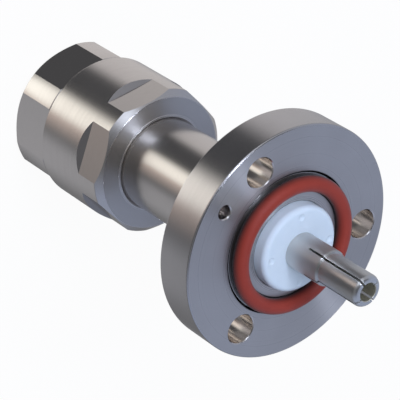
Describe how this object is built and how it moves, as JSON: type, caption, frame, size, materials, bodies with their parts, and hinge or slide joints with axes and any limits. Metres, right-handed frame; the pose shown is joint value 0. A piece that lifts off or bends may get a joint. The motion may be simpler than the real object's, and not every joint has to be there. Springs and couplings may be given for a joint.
{
  "type": "coaxial cable connector",
  "caption": "Straight coaxial cable connector: round bolt-on flange with seal and slotted centre pin, neck, sleeve with wrench flats and clamping nut.",
  "frame": {"origin": "centre of the back nut's rear face, on which the connector stands", "axes": "+Z along the connector's axis, from the cable entry to the tip of the centre pin; +X through one of the three bolt holes"},
  "size_m": [0.0572, 0.0572, 0.1117],
  "materials": {
    "plated_brass": "fine turned brass with a grey-white plating",
    "silver_plate": "smooth turned brass with a silver-grey plating",
    "plain_brass": "turned bare brass",
    "spring_steel": "bare spring steel",
    "red_rubber": "satin red silicone rubber",
    "black_rubber": "matt black rubber",
    "white_plastic": "turned white fluoroplastic, waxy"
  },
  "bodies": {
    "root": {"back_nut": "plated_brass", "jacket_gasket": "black_rubber", "pressure_sleeve": "plain_brass", "body_sleeve": "plated_brass", "body_seal_ring": "black_rubber", "clamp_segment_1": "silver_plate", "clamp_segment_2": "silver_plate", "clamp_segment_3": "silver_plate", "clamp_segment_4": "silver_plate", "clamp_segment_5": "silver_plate", "clamp_segment_6": "silver_plate", "segment_spring": "spring_steel", "outer_contact_ring": "silver_plate", "cable_contact": "silver_plate", "flange_tube": "plated_brass", "retaining_ring": "spring_steel", "rear_insulator": "white_plastic", "inner_conductor": "silver_plate", "front_insulator": "white_plastic", "flange_seal_ring": "red_rubber"}
  },
  "joints": []
}
